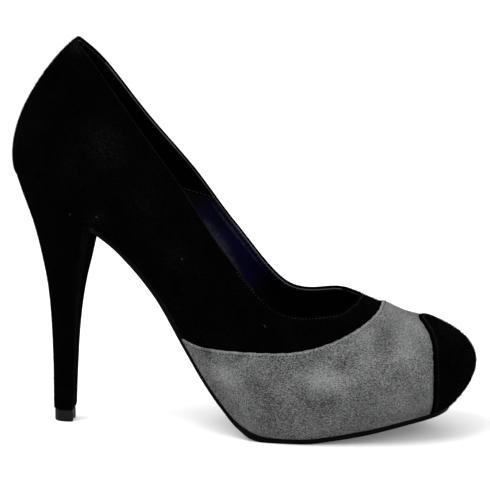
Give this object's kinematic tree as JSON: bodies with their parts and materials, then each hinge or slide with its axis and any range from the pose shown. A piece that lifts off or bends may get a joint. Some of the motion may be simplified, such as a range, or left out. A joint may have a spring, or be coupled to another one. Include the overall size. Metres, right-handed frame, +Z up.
{
  "type": "platform court shoe",
  "caption": "Right-foot suede platform court shoe with a grey vamp panel, black toe cap, open collar and a slender covered high heel; one shoe standing empty.",
  "frame": {"origin": "on the floor under the middle of the shoe's outline", "axes": "+X from heel to toe, +Y towards the inner side of the foot, +Z up from the floor"},
  "size_m": [0.2214, 0.0814, 0.1871],
  "materials": {
    "black_suede": "black suede",
    "grey_suede": "grey suede",
    "cap_suede": "black suede",
    "platform_core": "light board and cork, hidden",
    "sock_leather": "smooth dark leather sock",
    "heel_suede": "black suede over a hard core",
    "outsole": "satin black",
    "heel_tip": "satin charcoal"
  },
  "bodies": {
    "root": {"upper": "black_suede", "vamp_panel": "grey_suede", "toe_cap": "cap_suede", "platform": "platform_core", "insole": "sock_leather", "heel": "heel_suede", "outsole": "outsole", "heel_tip": "heel_tip"}
  },
  "joints": []
}
